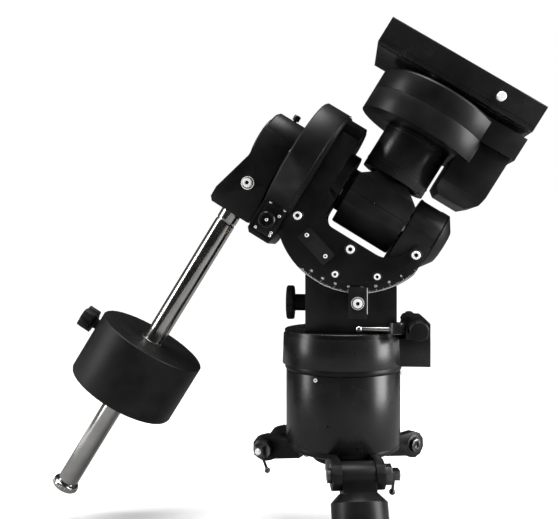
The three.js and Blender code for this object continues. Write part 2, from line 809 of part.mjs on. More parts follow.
// ---------------------------------------------------------------- assembly
function addBase() {
  add(mount, "tripod_hub", BLACK, tripodHub());
  addLegs();
  add(mount, "pier_column", BLACK, pierColumn());
  add(mount, "pier_flange", BLACK, pierFlange());
  add(mount, "azimuth_peg", STEEL, azimuthPeg());
}

function addAzimuth() {
  add(mount, "azimuth_ring", BLACK, azimuthRing());
  add(mount, "azimuth_adjuster_housing", BLACK, adjusterHousing());
  add(mount, "latitude_pedestal", BLACK, pedestal());
  add(mount, "latitude_pointer", BLACK, pointerPlate());
  add(mount, "pointer_bolt", STEEL, at(pointerBolt(), POINTER_X, 0, POINTER_Z));
  for (const [side, turned] of [["far", 0], ["near", 180]]) {
    const screw = azimuthScrew().rotate([0, 0, turned]);
    const knob = azimuthKnob().rotate([0, 0, turned]);
    add(mount, `azimuth_screw_${side}`, STEEL, at(screw, ADJUSTER_X, 0, ADJUSTER_Z));
    add(mount, `azimuth_knob_${side}`, PLASTIC, at(knob, ADJUSTER_X, 0, ADJUSTER_Z));
  }
  add(mount, "azimuth_lock_lever", STEEL, at(lockLever(), 66, -60, DISC_TOP + GAP));
  const latitudeSpindle = new THREE.Group();
  latitudeSpindle.position.z = KNOB_Z;
  mount.add(latitudeSpindle);
  add(latitudeSpindle, "latitude_knob", PLASTIC, latitudeKnob());
  add(latitudeSpindle, "latitude_worm", BRASS, latitudeWorm());
}

function addYoke() {
  add(polar, "yoke_front_frame", BLACK, yokeFrontFrame());
  add(polar, "yoke_floor", BLACK, yokeFloor());
  add(polar, "yoke_tail_arm", BLACK, yokeTailArm());
  add(polar, "side_plate_near", BLACK, sidePlate(-1));
  add(polar, "side_plate_far", BLACK, sidePlate(1));
  add(polar, "latitude_gear", BRASS, latitudeGear());
  add(polar, "tail_cap", BLACK, tailCap());
  const cover = box(-24, 24, -PLATE_OUTER - GAP - 1.6, -PLATE_OUTER - GAP, -10, 10);
  add(polar, "access_cover", BLACK, at(cover.rotate([0, 16, 0]), -38, 0, -83));
}

function addRightAscension() {
  add(polar, "ra_gear_housing", BLACK, raGearHousing());
  add(polar, "ra_worm_cover", BLACK, wormCover());
  add(polar, "ra_bearing_front", STEEL, bearing("x", 34, RA_SHAFT_RADIUS + GAP, -86, -71));
  add(polar, "ra_bearing_tail", STEEL, bearing("x", 30, TAIL_SHAFT_RADIUS + GAP, 67, 80));
  add(polar, "ra_motor", ALUMINIUM, at(rod("y", 12, 26, 44, MEDIUM), -103.5, 0, -92));
  add(polar, "ra_worm", STEEL, at(worm(8, 20), -103.5, 0, -RA_WHEEL_RADIUS - 8.5));
  add(polar, "ra_shaft", STEEL, raShaft());
  add(polar, "ra_tail_shaft", STEEL, tailShaft());
  add(polar, "ra_worm_wheel", BRASS, wormWheel("x", RA_WHEEL_RADIUS, RA_SHAFT_RADIUS, -112, -95));
  add(polar, "counterweight_head", BLACK, counterweightHead());
  add(polar, "polar_cap", BLACK, polarCap());
  add(polar, "head_thumb_screw", STEEL, thumbScrew());
  add(polar, "head_clamp_bolt", STEEL, clampBolt());
  add(polar, "counterweight_bar", STEEL, counterweightBar());
  add(polar, "bar_end_cap", STEEL, barEndCap());
  add(polar, "counterweight", BLACK, counterweight());
  add(polar, "counterweight_knob", PLASTIC, counterweightKnob());
}

function addDeclination() {
  add(polar, "dec_block_upper", BLACK, decBlockHalf(true));
  add(polar, "dec_block_lower", BLACK, decBlockHalf(false));
  add(polar, "dec_neck", BLACK, decNeck());
  add(polar, "dec_housing_lower", BLACK, decHousingLower());
  add(polar, "dec_housing_upper", BLACK, decHousingUpper());
  add(polar, "dec_bearing", STEEL, bearing("z", 33.6, DEC_SHAFT_RADIUS + GAP, 60, 75));
  add(polar, "dec_motor", ALUMINIUM, at(rod("y", 14, -30, 30, MEDIUM), 80, 0, 80));
  add(polar, "dec_worm", STEEL, at(worm(8, 20), DEC_WHEEL_RADIUS + 8.5, 0, 120));
  add(polar, "dec_shaft", STEEL, decShaft());
  add(polar, "dec_worm_wheel", BRASS, wormWheel("z", DEC_WHEEL_RADIUS, DEC_SHAFT_RADIUS, 112, 128));
  add(polar, "saddle_base", BLACK, saddleBase());
  add(polar, "saddle_fixed_jaw", BLACK, saddleFixedJaw());
  add(polar, "saddle_moving_jaw", BLACK, saddleMovingJaw());
  add(polar, "saddle_knob_1", PLASTIC, saddleKnob(-SADDLE_SCREW_X));
  add(polar, "saddle_knob_2", PLASTIC, saddleKnob(SADDLE_SCREW_X));
}

addBase();
addAzimuth();
addYoke();
addRightAscension();
addDeclination();

export default mount;
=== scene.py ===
"""Equatorial telescope mount: finishes, small parts, stage, lights and camera.

Lengths are in mm and turn into metres where a mesh is made. World: X to the right of the photo, Y away from
its camera, Z up. Tilted frame (POLAR): X down the polar axis towards its tail, Z up the declination axis.
"""

import json
import math

import bmesh
import bpy
from mathutils import Matrix, Vector


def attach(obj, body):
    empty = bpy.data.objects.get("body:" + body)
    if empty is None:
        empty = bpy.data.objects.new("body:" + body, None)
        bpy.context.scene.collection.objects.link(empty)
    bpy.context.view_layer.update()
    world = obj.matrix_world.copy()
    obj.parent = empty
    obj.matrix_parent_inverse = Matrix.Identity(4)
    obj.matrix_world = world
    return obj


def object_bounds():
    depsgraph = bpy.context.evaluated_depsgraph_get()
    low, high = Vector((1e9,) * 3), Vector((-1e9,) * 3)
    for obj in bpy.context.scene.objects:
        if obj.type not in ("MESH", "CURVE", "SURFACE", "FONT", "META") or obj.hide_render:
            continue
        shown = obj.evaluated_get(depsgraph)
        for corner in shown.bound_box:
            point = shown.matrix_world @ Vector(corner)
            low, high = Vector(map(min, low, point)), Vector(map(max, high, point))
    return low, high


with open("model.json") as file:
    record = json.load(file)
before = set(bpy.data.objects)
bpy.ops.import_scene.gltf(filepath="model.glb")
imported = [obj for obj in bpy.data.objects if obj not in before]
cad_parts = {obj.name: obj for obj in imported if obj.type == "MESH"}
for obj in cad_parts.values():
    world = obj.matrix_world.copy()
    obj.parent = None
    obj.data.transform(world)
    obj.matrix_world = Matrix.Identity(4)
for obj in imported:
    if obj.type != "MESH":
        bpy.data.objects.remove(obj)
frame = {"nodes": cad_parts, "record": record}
cad_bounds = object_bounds()

MM = 0.001
TURN = 2 * math.pi
SIDES = ((-1, "near"), (1, "far"))  # sign of Y, and what the pieces on that side are called

# Places taken from the CAD
LATITUDE_DEGREES = 31.8  # tilt of the polar axis at rest
AXES = (43, 0, 330)  # where the polar and declination axes cross, in the world
PIVOT = (-16, -16)  # X and Z of the latitude axis, in the tilted frame
BAR_X = -160  # the counterweight bar, along the polar axis
GEAR_HOUSING_X = -125.2  # its front face
TAIL_CAP_X = 87.2  # its end face
PIER_RADIUS = 75.05
HINGE_RADIUS = 100  # leg hinges, from the pier's axis
HINGE_HEIGHT = 9
LUG_FACE = 31.1  # from the middle of a hinge
HUB_SCREW_RADIUS = 60
HUB_UNDERSIDE = 14.3  # its height at the screws
LEVER_FOOT = (66, -60, 171.6)

# Depths of the faces that trim sits on, along Y
PLATE_FACE = 50.1
PLATE_INK = 50.05
ACCESS_COVER = 52
WORM_COVER = 50.7
WORM_CAP = 53.1
WORM_CAP_MIDDLE = 55.5
TAIL_ARM = 39.9
DEC_BLOCK = 46.1
SADDLE_SIDE = 58.1
SADDLE_LINE = 58.05
POINTER_FACE = 50.3
POINTER_BOLT = 55.6
CLAMP_BOLT = 35.9

# Places of screws, as X and Z in the tilted frame
PLATE_BOLTS = {
    "large": (5.4, [(-78, -63), (0.4, -64.4), (73, -28)]),
    "medium": (4.0, [(0.7, -101), (46.6, -76)]),
}
ACCESS_COVER_SCREWS = [(-55.1, -77.8), (-21.4, -88.1)]
WORM_BOX_SCREWS = [(-119.5, -58), (-91.5, -58)]
WORM_COVER_SCREWS = [(-115.5, -66), (-94.5, -66), (-115.5, -103), (-94.5, -103)]
WORM_AXIS = (-108, -88)
WORM_ADJUSTERS = [(-97, -76), (-95, -99)]
TAIL_ARM_SCREW = (79.7, -3.7)

# Latitude scale
SCALE_RADIUS = 104.4
FIGURE_RADIUS = 97.6
FIGURE_SIZE = 3.8
TICK_WIDTH = 0.26
TICK_LENGTHS = ((10, 3.6), (5, 2.6), (1, 1.6))  # every so many degrees, and how long
INK_THICKNESS = 0.12

# Smoothing and mesh detail
SMOOTH_BELOW = 32  # degrees; sharper edges stay sharp in the shading
BEVEL_ABOVE = 34  # degrees; only sharper edges are rounded
EDGE = 0.5  # rounding of the CAD parts
SOFT_EDGE = {
    "dec_block_upper": 1.2,
    "dec_block_lower": 1.2,
    "latitude_pedestal": 0.8,
    "counterweight_head": 1.0,
}
SCREW_SEGMENTS = 24
WELD_WITHIN = 0.01  # joins vertices this near
FLAT_WITHIN = 0.6  # degrees; joins faces this close to level with each other

# Materials
MOTTLE_SCALE = 38
BUMP_HEIGHT = 0.3

# Studio, in metres apart from the camera's place, which is in mm
ROOM_LIGHT = 0.15  # strength of the white room as the object sees it; the camera sees 1
SUN_STRENGTH = 3.2
CARD_RADIUS = 1.7
FLOOR_SIZE = 40
FLOOR_GAP = 0.001  # below the mount
FLOOR_CARD_LIFT = 0.004  # above the mount's lowest point
LIGHT_TARGET = (0, 0, 0.3)
CAMERA_PLACE = (5.4, -942.6, 274.2)
CAMERA_TURN = 5.5  # degrees to the left of straight ahead


# ------------------------------------------------------------ frames and places
def shift(x, y, z):
    return Matrix.Translation(Vector((x, y, z)) * MM)


def turn(degrees, axis):
    return Matrix.Rotation(math.radians(degrees), 4, axis)


WORLD = Matrix.Identity(4)
POLAR = shift(*AXES) @ turn(LATITUDE_DEGREES, "Y")
NEAR = turn(90, "X")  # local +Z faces the near side, -Y
FAR = turn(-90, "X")
TAILWARD = turn(90, "Y")  # local +Z faces +X
FRONTWARD = turn(-90, "Y")


def point_at(radius, angle, height=0.0):
    """Vector in metres to a point round local Z: radius and height in mm, angle in radians."""
    return Vector((radius * math.cos(angle), radius * math.sin(angle), height)) * MM


def on_side(frame_matrix, x, z, y):
    """Local +Z facing out of the near (y below 0) or far face, at X, Z and depth Y of a frame."""
    return frame_matrix @ shift(x, y, z) @ (NEAR if y < 0 else FAR)


def around(radius, degrees, height=0.0):
    """Moved to a point round local Z, without turning."""
    return Matrix.Translation(point_at(radius, math.radians(degrees), height))


def outward(degrees, height):
    """On the pier's surface, with local +Z pointing away from its axis and local +Y up."""
    facing = Matrix.Rotation(math.radians(degrees) + math.pi / 2, 4, "Z") @ NEAR
    return around(PIER_RADIUS, degrees, height) @ facing


# ------------------------------------------------------------ materials
def grey(level):
    return (level, level, level)


def new_material(name):
    material = bpy.data.materials.new(name)
    material.use_nodes = True
    shader = next(n for n in material.node_tree.nodes if n.type == "BSDF_PRINCIPLED")
    return material, shader


def noise(nodes, links, coords, scale, detail):
    texture = nodes.new("ShaderNodeTexNoise")
    texture.inputs["Scale"].default_value = scale
    texture.inputs["Detail"].default_value = detail
    links.new(coords.outputs["Object"], texture.inputs["Vector"])
    return texture


def spread(nodes, links, value, low, high, out_low, out_high):
    """Map Range node from low..high to out_low..out_high."""
    node = nodes.new("ShaderNodeMapRange")
    node.inputs["From Min"].default_value = low
    node.inputs["From Max"].default_value = high
    node.inputs["To Min"].default_value = out_low
    node.inputs["To Max"].default_value = out_high
    links.new(value, node.inputs["Value"])
    return node


def surface(
    name, dark, light, worn, rough,
    grain=900, bump=0.12, metal=0.0, gloss_level=0.13, wear=0.4, patchy=0.03,
):
    """Procedural finish: mottled colour, grain in the bump, uneven gloss, and rubbed edges."""
    material, shader = new_material(name)
    nodes, links = material.node_tree.nodes, material.node_tree.links
    coords = nodes.new("ShaderNodeTexCoord")
    mottle = noise(nodes, links, coords, MOTTLE_SCALE, 4.0)
    fine = noise(nodes, links, coords, grain, 2.0)
    colour = nodes.new("ShaderNodeValToRGB")
    colour.color_ramp.elements[0].position = 0.35
    colour.color_ramp.elements[0].color = (*dark, 1)
    colour.color_ramp.elements[1].position = 0.65
    colour.color_ramp.elements[1].color = (*light, 1)
    links.new(mottle.outputs["Fac"], colour.inputs["Fac"])
    geometry = nodes.new("ShaderNodeNewGeometry")
    edge = spread(nodes, links, geometry.outputs["Pointiness"], 0.52, 0.60, 0.0, wear)
    rubbed = nodes.new("ShaderNodeMath")
    rubbed.operation = "MULTIPLY"
    links.new(edge.outputs["Result"], rubbed.inputs[0])
    links.new(mottle.outputs["Fac"], rubbed.inputs[1])
    mix = nodes.new("ShaderNodeMix")
    mix.data_type = "RGBA"
    links.new(rubbed.outputs[0], mix.inputs["Factor"])
    links.new(colour.outputs["Color"], mix.inputs["A"])
    mix.inputs["B"].default_value = (*worn, 1)
    links.new(mix.outputs["Result"], shader.inputs["Base Color"])
    gloss = spread(nodes, links, mottle.outputs["Fac"], 0.3, 0.7, rough - patchy, rough + patchy)
    links.new(gloss.outputs["Result"], shader.inputs["Roughness"])
    relief = nodes.new("ShaderNodeBump")
    relief.inputs["Strength"].default_value = bump
    relief.inputs["Distance"].default_value = BUMP_HEIGHT * MM
    links.new(fine.outputs["Fac"], relief.inputs["Height"])
    links.new(relief.outputs["Normal"], shader.inputs["Normal"])
    shader.inputs["Metallic"].default_value = metal
    shader.inputs["Specular IOR Level"].default_value = gloss_level
    return material


BLACK = surface(
    "black_casting", (0.0022, 0.0022, 0.0026), (0.0038, 0.0038, 0.0042), grey(0.05), 0.36,
    gloss_level=0.2, patchy=0.015,
)
DARK_STEEL = surface(
    "blackened_steel", grey(0.05), grey(0.09), grey(0.4), 0.3,
    grain=1200, metal=1.0, gloss_level=0.5, wear=0.8,
)
SATIN = surface(
    "black_anodised", (0.0025, 0.0025, 0.003), (0.0035, 0.0035, 0.004), grey(0.05), 0.27,
    grain=1500, bump=0.05, gloss_level=0.36, patchy=0.008,
)
WRINKLE = surface(
    "wrinkle_paint", grey(0.003), grey(0.006), grey(0.02), 0.46,
    grain=650, bump=0.45, gloss_level=0.15,
)
PLASTIC = surface("black_plastic", grey(0.005), grey(0.008), grey(0.02), 0.44, bump=0.1)
STEEL = surface(
    "polished_steel", (0.42, 0.415, 0.40), (0.52, 0.51, 0.49), grey(0.7), 0.14,
    grain=1400, bump=0.04, metal=1.0, gloss_level=0.5,
)
BRASS = surface("brass", (0.50, 0.36, 0.14), (0.62, 0.45, 0.19), (0.8, 0.65, 0.4), 0.30, metal=1.0)
ALUMINIUM = surface("aluminium", (0.50, 0.50, 0.52), (0.60, 0.60, 0.61), (0.75, 0.75, 0.76), 0.34, metal=1.0)
ZINC = surface(
    "bright_screws", (0.78, 0.78, 0.77), (0.90, 0.90, 0.89), grey(0.95), 0.42,
    metal=0.35, gloss_level=0.5,
)
INK = surface("scale_ink", grey(0.55), grey(0.72), grey(0.8), 0.5, bump=0.02, wear=0.1)
# Near-black and matte. In screw sockets and in the painted bolt shades it is painted shade; the saddle's
# side line and the dark pier screws are made of it too.
HOLE = surface("dark_recess", grey(0.003), grey(0.005), grey(0.01), 0.7, wear=0.1)

BY_SLOT = {
    "black_casting": BLACK,
    "black_plastic": PLASTIC,
    "black_iron": WRINKLE,
    "steel": STEEL,
    "brass": BRASS,
    "aluminium": ALUMINIUM,
}
SPECIAL = {  # nodes whose finish differs from their slot's
    "counterweight": WRINKLE,
    "dec_shaft": SATIN,
    "head_clamp_bolt": ZINC,
    "head_thumb_screw": DARK_STEEL,
    "pointer_bolt": ZINC,
    "leg_bolt_front": DARK_STEEL,
    "leg_bolt_right": DARK_STEEL,
    "leg_bolt_left": DARK_STEEL,
    "pier_column": SATIN,
    "azimuth_ring": SATIN,
    "dec_neck": SATIN,
    "saddle_fixed_jaw": SATIN,
    "saddle_moving_jaw": SATIN,
    "saddle_base": SATIN,
    "polar_cap": SATIN,
}


# ------------------------------------------------------------ modifiers
def smooth_by_angle():
    """Node group that shades a mesh smooth, apart from its edges sharper than SMOOTH_BELOW."""
    group = bpy.data.node_groups.new("smooth_by_angle", "GeometryNodeTree")
    group.interface.new_socket("Geometry", in_out="INPUT", socket_type="NodeSocketGeometry")
    group.interface.new_socket("Geometry", in_out="OUTPUT", socket_type="NodeSocketGeometry")
    nodes, links = group.nodes, group.links
    source = nodes.new("NodeGroupInput")
    sink = nodes.new("NodeGroupOutput")
    angle = nodes.new("GeometryNodeInputMeshEdgeAngle")
    compare = nodes.new("FunctionNodeCompare")
    compare.data_type = "FLOAT"
    compare.operation = "LESS_THAN"
    compare.inputs["B"].default_value = math.radians(SMOOTH_BELOW)
    plain = nodes.new("GeometryNodeRemoveAttribute")
    plain.inputs["Name"].default_value = "custom_normal"
    faces = nodes.new("GeometryNodeSetShadeSmooth")
    faces.domain = "FACE"
    edges = nodes.new("GeometryNodeSetShadeSmooth")
    edges.domain = "EDGE"
    links.new(source.outputs["Geometry"], plain.inputs["Geometry"])
    links.new(plain.outputs["Geometry"], faces.inputs["Geometry"])
    links.new(faces.outputs["Geometry"], edges.inputs["Geometry"])
    links.new(angle.outputs["Unsigned Angle"], compare.inputs["A"])
    links.new(compare.outputs["Result"], edges.inputs["Shade Smooth"])
    links.new(edges.outputs["Geometry"], sink.inputs["Geometry"])
    return group


SMOOTH = smooth_by_angle()


def soften(obj, width):
    """Joins an object's flat faces, rounds its sharp edges by width, in mm, and shades its curves smooth."""
    joined = obj.modifiers.new("joined", "WELD")
    joined.merge_threshold = WELD_WITHIN * MM
    flat = obj.modifiers.new("flat_faces", "DECIMATE")
    flat.decimate_type = "DISSOLVE"
    flat.angle_limit = math.radians(FLAT_WITHIN)
    if width:
        bevel = obj.modifiers.new("edges", "BEVEL")
        bevel.width = width * MM
        bevel.segments = 2
        bevel.limit_method = "ANGLE"
        bevel.angle_limit = math.radians(BEVEL_ABOVE)
        bevel.use_clamp_overlap = True
    shade = obj.modifiers.new("shading", "NODES")
    shade.node_group = SMOOTH


def dress_cad():
    """Finishes and softened edges for the nodes that come from the CAD."""
    slots = {s["node"]: s["material_slot"] for s in frame["record"]["subparts"]}
    for name, obj in frame["nodes"].items():
        material = SPECIAL.get(name) or BY_SLOT[slots[name]]
        obj.data.materials.clear()
        obj.data.materials.append(material)
        soften(obj, SOFT_EDGE.get(name, EDGE))


# ------------------------------------------------------------ mesh building
def circle(bm, radius, height, segments, place, start=0.0):
    """Vertices round local Z, the first one start steps from local X, or a single vertex on the axis."""
    if not radius:
        return [bm.verts.new(place @ Vector((0, 0, height * MM)))]
    angles = [TURN * (i + start) / segments for i in range(segments)]
    return [bm.verts.new(place @ point_at(radius, angle, height)) for angle in angles]


def hexagon(bm, radius, height, segments, place):
    """Vertices round a hexagon, with radius to its corners, as many as in the circle that it joins."""
    ring = []
    for i in range(segments):
        angle = TURN * i / segments
        flat = math.cos(math.radians(30)) / math.cos((angle % math.radians(60)) - math.radians(30))
        ring.append(bm.verts.new(place @ point_at(radius * flat, angle, height)))
    return ring


def band(bm, low, high, segments, material_index=0):
    """Faces between two rings, either of which may be a single vertex."""
    for i in range(segments):
        j = (i + 1) % segments
        corners = [low[i % len(low)], low[j % len(low)], high[j % len(high)], high[i % len(high)]]
        bm.faces.new(list(dict.fromkeys(corners))).material_index = material_index


def revolve_into(bm, profile, segments, place):
    """Adds a solid of revolution about local Z: profile is (radius, height) in mm, from axis to axis."""
    rings = [circle(bm, radius, height, segments, place, start=0.5) for radius, height in profile]
    for low, high in zip(rings, rings[1:]):
        band(bm, low, high, segments)


def ring_into(bm, loop, segments, place):
    """Adds a closed ring about local Z: loop is (radius, height) in mm and doesn't meet the axis."""
    rings = [circle(bm, radius, height, segments, place) for radius, height in loop]
    for low, high in zip(rings, rings[1:] + rings[:1]):
        band(bm, low, high, segments)


def prism_into(bm, outline, low, high, place):
    """Adds an outline of (x, y) in mm carried along local Z from low to high mm."""
    bottom = [bm.verts.new(place @ (Vector((x, y, low)) * MM)) for x, y in outline]
    top = [bm.verts.new(place @ (Vector((x, y, high)) * MM)) for x, y in outline]
    bm.faces.new(bottom)
    bm.faces.new(top)
    for i in range(len(outline)):
        j = (i + 1) % len(outline)
        bm.faces.new([bottom[i], bottom[j], top[j], top[i]])


def socket_screw_into(bm, radius, height, place):
    """Adds a screw head with a rounded rim and a hexagon socket, standing on the local XY plane; the
    socket's faces take the second material, near-black painted shade whatever the head's finish.
    """
    socket = 0.52 * radius
    rim = 0.12 * radius
    profile = [(0, 0), (radius, 0), (radius, height - rim), (radius - rim, height), (socket * 1.12, height)]
    rings = [circle(bm, reach, level, SCREW_SEGMENTS, place) for reach, level in profile]
    rings += [hexagon(bm, socket, level, SCREW_SEGMENTS, place) for level in (height, height * 0.35)]
    for low, high in zip(rings, rings[1:]):
        # material index 1 is the painted shade in the socket
        band(bm, low, high, SCREW_SEGMENTS, material_index=1 if high is rings[-1] else 0)
    bm.faces.new(rings[-1]).material_index = 1


def mesh_from(name, bm):
    """A mesh with its normals facing out; bm is freed."""
    bmesh.ops.recalc_face_normals(bm, faces=bm.faces)
    mesh = bpy.data.meshes.new(name)
    bm.to_mesh(mesh)
    bm.free()
    return mesh


def finish_piece(name, mesh, material, body, place=WORLD):
    """Puts a mesh in the scene as a visual piece that rides on a body."""
    mesh.transform(place)
    obj = bpy.data.objects.new(name, mesh)
    bpy.context.scene.collection.objects.link(obj)
    obj.data.materials.append(material)
    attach(obj, body)
    return obj


def revolved(name, profile, material, body, place, segments):
    """A piece turned from a (radius, height) profile, in mm, that starts and ends on local Z."""
    bm = bmesh.new()
    revolve_into(bm, profile, segments, WORLD)
    soften(finish_piece(name, mesh_from(name, bm), material, body, place), 0)


def prism(name, outline, low, high, material, body, place):
    """A flat piece with an (x, y) outline, in mm, between two heights of local Z."""
    bm = bmesh.new()
    prism_into(bm, outline, low, high, WORLD)
    soften(finish_piece(name, mesh_from(name, bm), material, body, place), 0)


def ring_piece(name, loop, material, body, place, segments=72):
    """A ring with a (radius, height) section, in mm, round local Z."""
    bm = bmesh.new()
    ring_into(bm, loop, segments, place)
    soften(finish_piece(name, mesh_from(name, bm), material, body), 0)


def screws(name, places, radius, height, body, material=ZINC):
    """Equal socket head screws as one piece; places are matrices whose +Z is a head's axis."""
    bm = bmesh.new()
    for place in places:
        socket_screw_into(bm, radius, height, place)
    piece = finish_piece(name, mesh_from(name, bm), material, body)
    # second material, near-black: painted shade in the sockets
    piece.data.materials.append(HOLE)
    soften(piece, 0)


def bolt_shades(name, body, place, head_height, socket_floor):
    """Painted shade for a socket bolt: a near-black disc on the socket's floor and a near-black ring under
    the head, where shadow falls; local +Z is its axis.
    """
    floor = [(0, socket_floor), (2.3, socket_floor), (2.3, socket_floor + 0.4), (0, socket_floor + 0.4)]
    # near-black disc on the socket's floor: painted shade in the socket
    revolved(f"{name}_socket", floor, HOLE, body, place, 24)
    rim = [(6.1, head_height), (7.4, head_height), (7.4, head_height + 0.15), (6.1, head_height + 0.15)]
    # near-black ring under the head: painted shadow between head and washer
    ring_piece(f"{name}_painted_shadow_ring", rim, HOLE, body, place, 40)


def arc_band(outer, inner, start, stop, steps):
    """Outline of an arc between two radii, in mm, from start to stop degrees."""
    angles = [math.radians(start + (stop - start) * i / steps) for i in range(steps + 1)]
    back = [math.radians(stop + (start - stop) * i / steps) for i in range(steps + 1)]
    edges = [(outer, angle) for angle in angles] + [(inner, angle) for angle in back]
    return [(radius * math.cos(angle), radius * math.sin(angle)) for radius, angle in edges]


# ------------------------------------------------------------ yoke
def yoke_screws():
    """The side plates' bolts on their raised rims, and the access cover's screws."""
    for side, label in SIDES:
        for group, (radius, points) in PLATE_BOLTS.items():
            places = [on_side(POLAR, x, z, side * PLATE_FACE) for x, z in points]
            screws(f"plate_screws_{group}_{label}", places, radius, 2.6, "yoke")
            rim = [(0, 0), (radius + 2.2, 0), (radius + 2.2, 0.4), (radius + 1.8, 0.7), (0, 0.7)]
            bm = bmesh.new()
            for place in places:
                revolve_into(bm, rim, 32, place)
            name = f"plate_washers_{group}_{label}"
            soften(finish_piece(name, mesh_from(name, bm), BLACK, "yoke"), 0)
    places = [on_side(POLAR, x, z, -ACCESS_COVER) for x, z in ACCESS_COVER_SCREWS]
    screws("access_cover_screws", places, 2.6, 1.6, "yoke")


def scale_angle(degree):
    """Direction of a mark in the near plate's frame, in radians; the latitude at rest is straight down."""
    return math.radians((LATITUDE_DEGREES - 90) + (LATITUDE_DEGREES - degree))


def latitude_ticks(side, label):
    """One degree ticks of a side plate, and the arc along the near one's."""
    bm = bmesh.new()
    place = on_side(POLAR, *PIVOT, side * PLATE_INK)
    half = TICK_WIDTH / 2
    for degree in range(-14, 77):
        start = SCALE_RADIUS - next(length for every, length in TICK_LENGTHS if degree % every == 0)
        tick = [(start, -half), (SCALE_RADIUS, -half), (SCALE_RADIUS, half), (start, half)]
        turned = place @ Matrix.Rotation(-side * scale_angle(degree), 4, "Z")
        prism_into(bm, tick, 0.0, INK_THICKNESS, turned)
    if side < 0:
        line = arc_band(SCALE_RADIUS + 0.2, SCALE_RADIUS - 0.1, -104, -12, 60)
        prism_into(bm, line, 0.0, INK_THICKNESS, place)
    finish_piece(f"latitude_ticks_{label}", mesh_from("ticks", bm), INK, "yoke")


def latitude_figure(degree, place):
    """A number of the scale, as a mesh; its source text is removed."""
    curve = bpy.data.curves.new(f"figure_{degree}", "FONT")
    curve.body = str(degree)
    curve.size = FIGURE_SIZE * MM
    curve.extrude = INK_THICKNESS / 2 * MM
    curve.align_x = "CENTER"
    curve.align_y = "CENTER"
    text = bpy.data.objects.new(f"figure_source_{degree}", curve)
    bpy.context.scene.collection.objects.link(text)
    bpy.context.view_layer.update()
    mesh = bpy.data.meshes.new_from_object(text.evaluated_get(bpy.context.evaluated_depsgraph_get()))
    bpy.data.objects.remove(text)
    angle = scale_angle(degree)
    spot = Matrix.Translation(point_at(FIGURE_RADIUS, angle, 0.1))
    turned = place @ spot @ Matrix.Rotation(angle + math.pi / 2, 4, "Z")
    finish_piece(f"latitude_figure_{degree}", mesh, INK, "yoke", turned)


def latitude_scale():
    """Ticks along the lower arc of both side plates; figures and the inner edge's line on the near one."""
    for side, label in SIDES:
        latitude_ticks(side, label)
    place = on_side(POLAR, *PIVOT, -PLATE_INK)
    for degree in range(0, 71, 10):
        latitude_figure(degree, place)
    edge = arc_band(91.2, 90.4, -105, -5, 48)
    prism("plate_step_line_near", edge, 0.0, 0.35, SATIN, "yoke", place)


# ------------------------------------------------------------ right ascension
def ra_details():
    """Screws of the worm's box and cover, its end cap, the gear housing's lip and the end faces' screws."""
    for side, label in SIDES:
        places = [on_side(POLAR, x, z, side * PLATE_FACE) for x, z in WORM_BOX_SCREWS]
        screws(f"worm_box_screws_{label}", places, 2.2, 1.4, "yoke")
        places = [on_side(POLAR, *TAIL_ARM_SCREW, side * TAIL_ARM)]
        screws(f"tail_arm_screw_{label}", places, 2.2, 0.9, "yoke")
    places = [on_side(POLAR, x, z, -WORM_COVER) for x, z in WORM_COVER_SCREWS]
    screws("worm_cover_screws", places, 1.7, 1.2, "yoke")
    dish = [(7.2, 2.9), (6.6, 1.6), (3.4, 1.6), (3.0, 2.6), (0, 2.6)]
    cap = [(0, 0), (10.5, 0), (10.5, 2.0), (9.6, 2.9)] + dish
    revolved("worm_end_cap", cap, SATIN, "yoke", on_side(POLAR, *WORM_AXIS, -WORM_CAP), 36)
    places = [on_side(POLAR, *WORM_AXIS, -WORM_CAP_MIDDLE)]
    places += [on_side(POLAR, x, z, -WORM_COVER) for x, z in WORM_ADJUSTERS]
    screws("worm_adjusting_screws", places, 1.9, 1.1, "yoke")
    lip = [(83.6, -89.6), (84.3, -89.6), (84.3, -90.4), (83.6, -90.4)]
    ring_piece("gear_housing_lip", lip, SATIN, "yoke", POLAR @ TAILWARD)
    front = POLAR @ shift(GEAR_HOUSING_X, 0, 0) @ FRONTWARD
    screws("gear_housing_screws", [front @ around(68, a) for a in range(30, 390, 60)], 2.6, 1.6, "yoke")
    tail = POLAR @ shift(TAIL_CAP_X, 0, 0) @ TAILWARD
    screws("tail_cap_screws", [tail @ around(34, a) for a in range(45, 405, 90)], 2.2, 1.2, "yoke")


# ------------------------------------------------------------ declination
def declination_details():
    """Rings of the neck, the block's screws, and the pins and the line on the saddle's side."""
    for index, height in enumerate((52, 96)):
        loop = [(43.9, height), (44.7, height), (44.7, height + 1.0), (43.9, height + 1.0)]
        ring_piece(f"neck_ring_{index}", loop, SATIN, "ra_unit", POLAR)
    for side, label in SIDES:
        places = [on_side(POLAR, -6, 0, side * DEC_BLOCK)]
        screws(f"dec_block_screw_{label}", places, 1.9, 0.8, "ra_unit", material=SATIN)
    pin = [(0, 0), (5.6, 0), (5.6, 4.4), (4.6, 5.4), (0, 5.4)]
    revolved("saddle_pin", pin, ZINC, "dec_unit", on_side(POLAR, 57.5, 188.6, -SADDLE_SIDE), 36)
    pin = [(0, 0), (2.4, 0), (2.4, 0.5), (1.8, 0.8), (0, 0.8)]
    revolved("saddle_small_pin", pin, SATIN, "dec_unit", on_side(POLAR, -70, 175, -SADDLE_SIDE), 24)
    line = [(-104, 0), (110, 0), (110, 0.5), (-104, 0.5)]
    place = on_side(POLAR, 0, 177.5, -SADDLE_LINE)
    prism("saddle_side_line", line, 0, 0.3, HOLE, "dec_unit", place)


